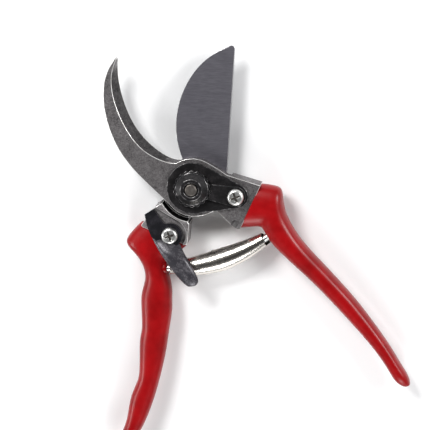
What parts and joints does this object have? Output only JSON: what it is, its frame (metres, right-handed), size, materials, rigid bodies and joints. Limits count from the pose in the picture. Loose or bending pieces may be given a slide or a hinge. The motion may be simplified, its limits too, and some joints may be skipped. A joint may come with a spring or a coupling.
{
  "type": "pruning shears",
  "caption": "Open bypass pruning shears with a hooked counter blade, dipped red grips, volute spring and thumb catch.",
  "frame": {"origin": "on the pivot axis, at the flat back of the pivot bolt's head", "axes": "+Z along the pivot axis towards the nut, +Y towards the jaws, +X towards the hook half's handle"},
  "size_m": [0.1492, 0.2064, 0.0241],
  "materials": {
    "forged_steel": "as-forged and tumbled, rims ground bright",
    "red_vinyl": "dipped vinyl, glossy",
    "blade_steel": "satin ground",
    "bright_zinc": "bright zinc plate",
    "spring_steel": "plain",
    "black_oxide": "black oxide, satin",
    "dark_bolt": "oiled dark steel",
    "nickel_spring": "bright nickel",
    "black_catch": "semi-gloss black coat"
  },
  "bodies": {
    "blade_half": {"blade_handle_forging": "forged_steel", "left_grip_sleeve": "red_vinyl", "cutting_blade": "blade_steel", "blade_rivets": "bright_zinc", "catch_screw": "bright_zinc", "catch_bush": "bright_zinc", "catch_wave_washer": "spring_steel", "left_spring_stud": "bright_zinc", "volute_spring": "nickel_spring"},
    "hook_half": {"hook_handle_forging": "forged_steel", "right_grip_sleeve": "red_vinyl", "cover_plate": "black_oxide", "lock_segment": "black_oxide", "segment_screw": "bright_zinc", "pivot_bolt": "dark_bolt", "pivot_nut": "black_oxide", "thrust_washer": "bright_zinc", "right_spring_stud": "bright_zinc"},
    "catch": {"catch_lever": "black_catch"}
  },
  "joints": [
    {"name": "pivot", "type": "hinge", "parent": "blade_half", "child": "hook_half", "pos_m": [0, 0, 0.01], "axis": [0, 0, 1], "range_deg": [-51, 0], "stiffness_Nm_per_rad": 1.5, "springref_deg": 20.05, "deforming": ["volute_spring"]},
    {"name": "catch_turn", "type": "hinge", "parent": "blade_half", "child": "catch", "pos_m": [-0.01131, -0.0233, 0.016], "axis": [0, 0, 1], "range_deg": [0, 45]}
  ]
}
